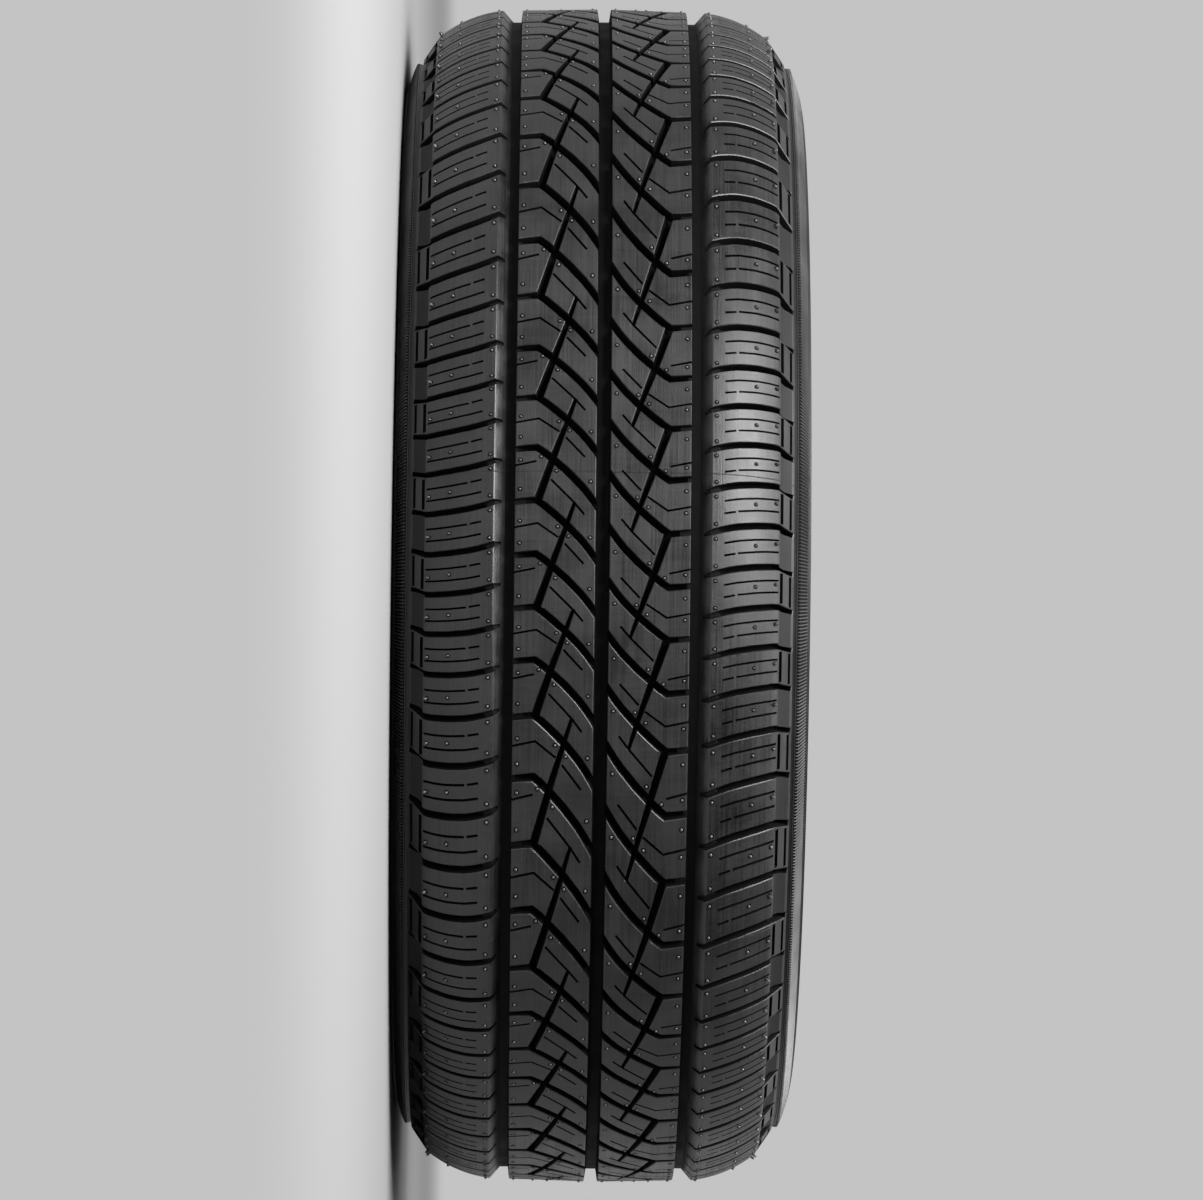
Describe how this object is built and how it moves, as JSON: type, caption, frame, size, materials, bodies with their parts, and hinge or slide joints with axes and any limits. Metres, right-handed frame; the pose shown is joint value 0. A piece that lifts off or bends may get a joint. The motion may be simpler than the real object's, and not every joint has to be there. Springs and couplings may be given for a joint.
{
  "type": "car tyre",
  "caption": "Moulded rubber car tyre, lying on its side: grooved tread with slanting cross grooves, rounded shoulders, open air chamber and two bead seats for a rim.",
  "frame": {"origin": "middle of the tyre, on the axle line, half way across its width", "axes": "+Z along the axle and up, because the tyre lies on its side; X and Y are radii"},
  "size_m": [0.705, 0.705, 0.235],
  "materials": {
    "tyre_rubber": "matte moulded rubber"
  },
  "bodies": {
    "root": {"tyre": "tyre_rubber"}
  },
  "joints": []
}
